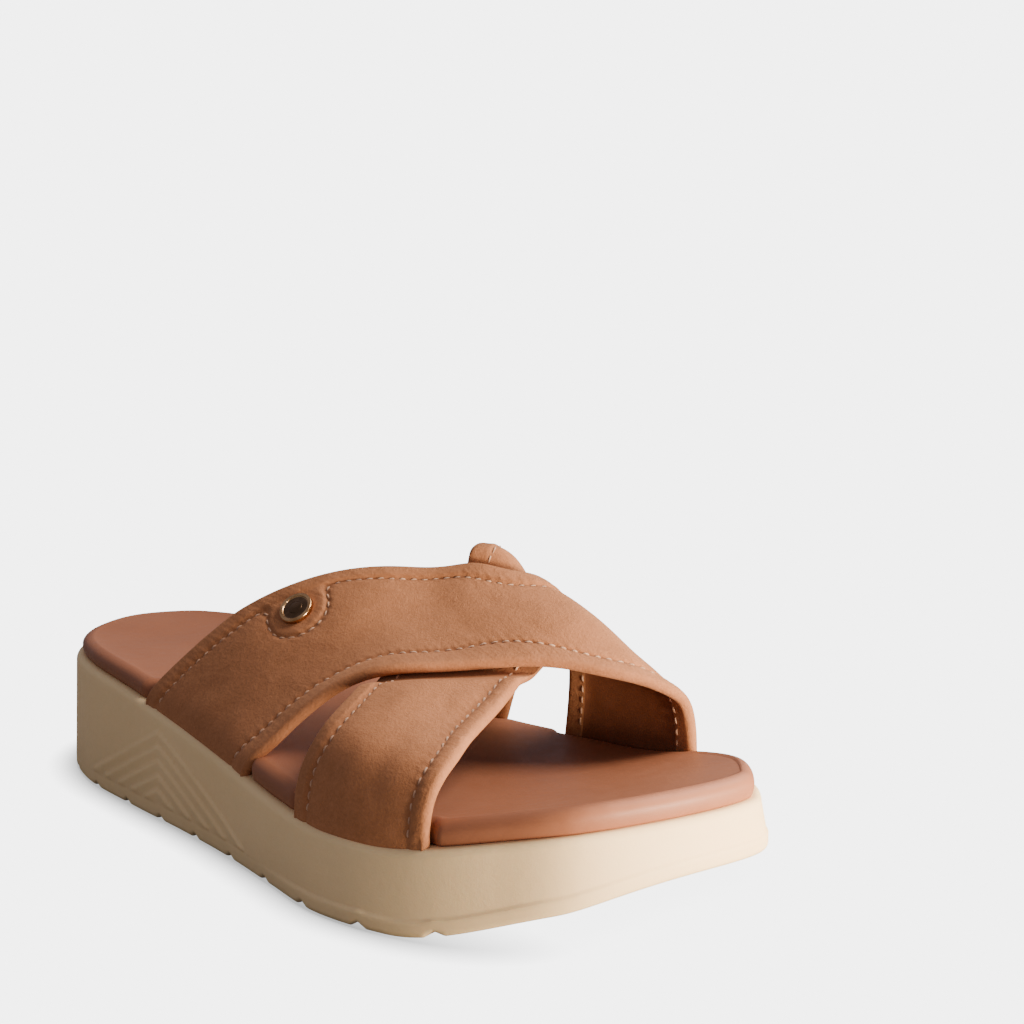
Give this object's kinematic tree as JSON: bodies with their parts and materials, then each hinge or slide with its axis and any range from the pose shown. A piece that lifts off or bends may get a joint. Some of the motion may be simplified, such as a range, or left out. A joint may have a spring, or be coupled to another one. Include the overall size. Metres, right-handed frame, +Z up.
{
  "type": "crossed-strap platform slide sandal",
  "caption": "Backless open-toe sandal: padded leather straps crossing over the instep, leather footbed, thick foam platform with side ribs and a grooved tread.",
  "frame": {"origin": "on the floor under the middle of the sole unit's bounding box", "axes": "+X from heel to toes, +Y towards the big-toe (medial) side, +Z up"},
  "size_m": [0.253, 0.103, 0.0787],
  "materials": {
    "foam": "matte cream moulded foam",
    "bed_leather": "smooth satin brown leather",
    "strap_leather": "soft tan nubuck with a fine nap",
    "gilt_metal": "polished bronze-gilt metal"
  },
  "bodies": {
    "root": {"sole_unit": "foam", "footbed": "bed_leather", "upper": "strap_leather", "stud": "gilt_metal"}
  },
  "joints": []
}
